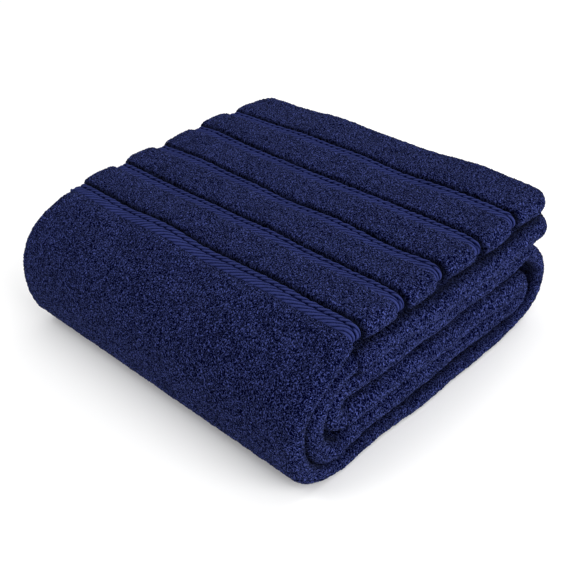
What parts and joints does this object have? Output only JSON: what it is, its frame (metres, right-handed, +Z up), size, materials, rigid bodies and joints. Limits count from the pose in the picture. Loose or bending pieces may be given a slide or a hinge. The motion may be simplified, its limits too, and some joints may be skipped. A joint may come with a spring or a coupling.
{
  "type": "folded bath towel",
  "caption": "Thick navy terry bath towel folded into a soft block, with ribbed woven bands and puffy stripes across its top flap.",
  "frame": {"origin": "on the surface the towel lies on, under the middle of the folded block", "axes": "+X along the fold lines and woven bands, towards the end with the rounded fold edges; -Y towards the big rounded front fold, +Y towards the back with the free ends; +Z up"},
  "size_m": [0.304, 0.274, 0.1032],
  "materials": {
    "terry_pile": "looped cotton terry, navy, matt with a soft pale sheen at grazing angles",
    "dobby_weave": "flat ribbed dobby weave, navy, slightly smoother than the pile",
    "hem_cloth": "turned and lock-stitched plain weave, navy",
    "sewing_thread": "twisted sewing thread, navy"
  },
  "bodies": {
    "roll": {"front_fold": "terry_pile", "bottom_leaf": "terry_pile", "back_fold": "terry_pile", "core_leaf_upper": "terry_pile", "half_fold": "terry_pile", "core_leaf_lower": "terry_pile", "inner_back_fold": "terry_pile", "lower_leaf": "terry_pile", "inner_front_fold": "terry_pile", "second_leaf": "terry_pile", "second_end_hem": "hem_cloth", "second_hem_stitching": "sewing_thread", "roll_side_hem_left": "hem_cloth", "roll_side_hem_right": "hem_cloth"},
    "flap": {"dobby_band_1": "dobby_weave", "dobby_band_2": "dobby_weave", "dobby_band_3": "dobby_weave", "dobby_band_4": "dobby_weave", "dobby_band_5": "dobby_weave", "terry_stripe_1": "terry_pile", "terry_stripe_2": "terry_pile", "terry_stripe_3": "terry_pile", "terry_stripe_4": "terry_pile", "terry_stripe_5": "terry_pile", "flap_end_hem": "hem_cloth", "flap_hem_stitching": "sewing_thread", "flap_side_hem_left": "hem_cloth", "flap_side_hem_right": "hem_cloth"}
  },
  "joints": [
    {"name": "flap_lift", "type": "hinge", "parent": "roll", "child": "flap", "pos_m": [0, -0.0788, 0.1002], "axis": [1, 0, 0], "range_deg": [0, 120]}
  ]
}
